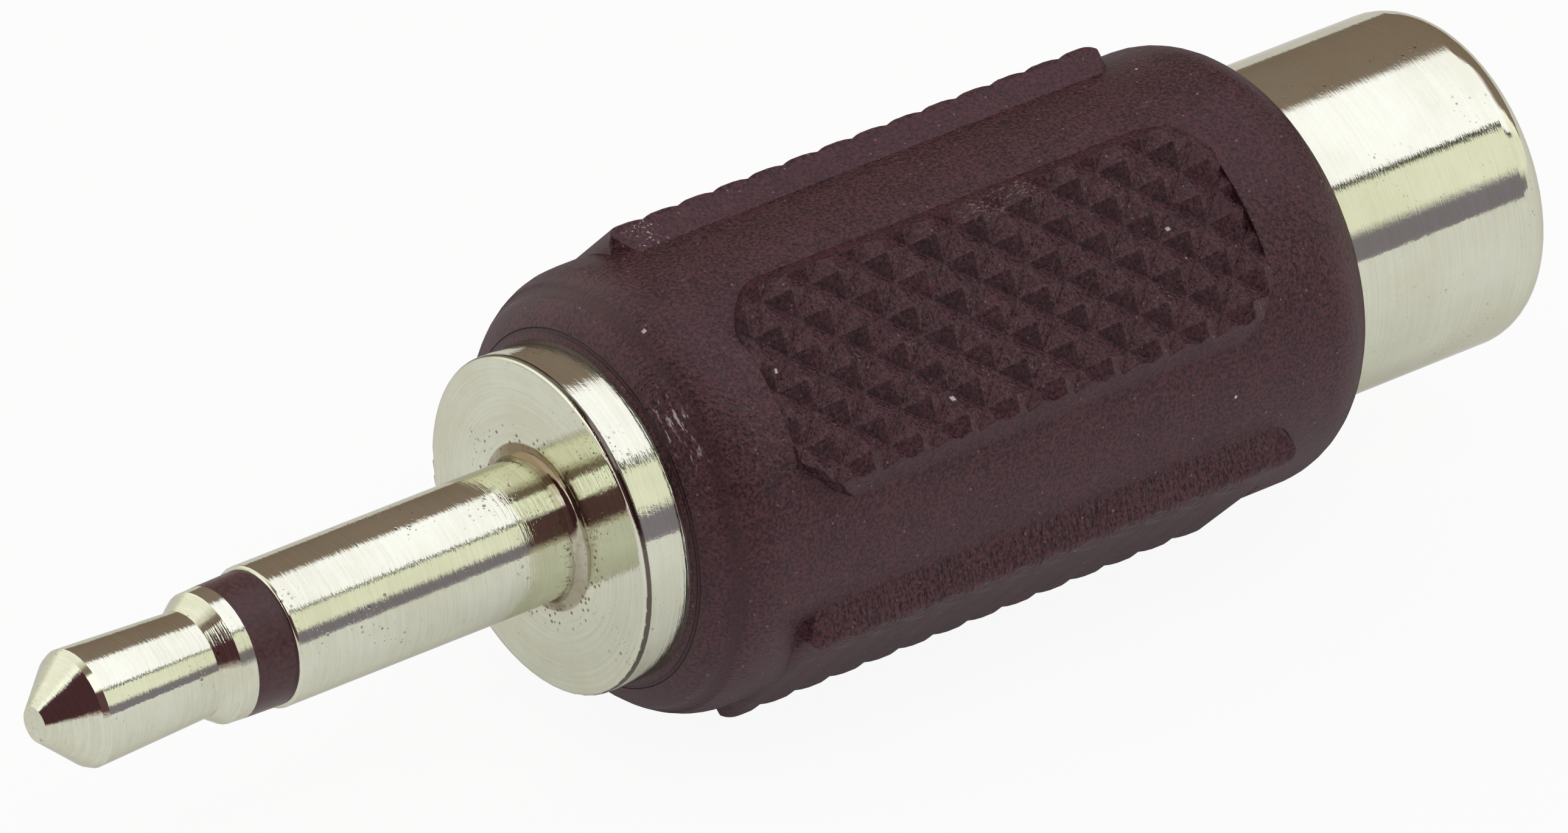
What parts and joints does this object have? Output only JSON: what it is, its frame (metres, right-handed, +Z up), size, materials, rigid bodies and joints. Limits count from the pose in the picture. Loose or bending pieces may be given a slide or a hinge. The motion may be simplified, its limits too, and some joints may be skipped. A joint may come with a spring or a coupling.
{
  "type": "rca to mini-jack adapter",
  "caption": "Inline audio adapter: mono 3.5 mm plug in front, moulded body with ribbed and diamond-cut grip pads, phono jack behind.",
  "frame": {"origin": "centre of the bounding box's bottom face, under the middle of the part as it lies on two grip pads", "axes": "+X along the part from the plug's nose towards the jack's mouth, +Z up from the surface it lies on, +Y away from the picture's camera"},
  "size_m": [0.042, 0.0112, 0.0113],
  "materials": {
    "moulded_body": "black PVC overmould with a fine spark-eroded texture",
    "inner_mould": "natural polyethylene, as moulded",
    "plated_brass": "turned brass with bright nickel plate, lightly pitted",
    "plated_terminal": "stamped brass with nickel plate",
    "insulator": "black moulded nylon",
    "washer": "phenolic paper",
    "copper_wire": "tinned copper strands",
    "red_insulation": "PVC wire insulation",
    "black_insulation": "PVC wire insulation",
    "solder": "tin solder"
  },
  "bodies": {
    "root": {"body": "moulded_body", "inner_mould": "inner_mould", "tip_contact": "plated_brass", "tip_insulator": "insulator", "plug_sleeve": "plated_brass", "rear_washer": "washer", "tip_lug": "plated_terminal", "sleeve_tag": "plated_terminal", "signal_wire": "copper_wire", "signal_jacket": "red_insulation", "ground_wire": "copper_wire", "ground_jacket": "black_insulation", "tip_solder": "solder", "centre_solder": "solder", "front_ground_solder": "solder", "rear_ground_solder": "solder", "shell_tag": "plated_terminal", "rca_shell": "plated_brass", "rca_insulator": "insulator", "rca_contact": "plated_brass"}
  },
  "joints": []
}
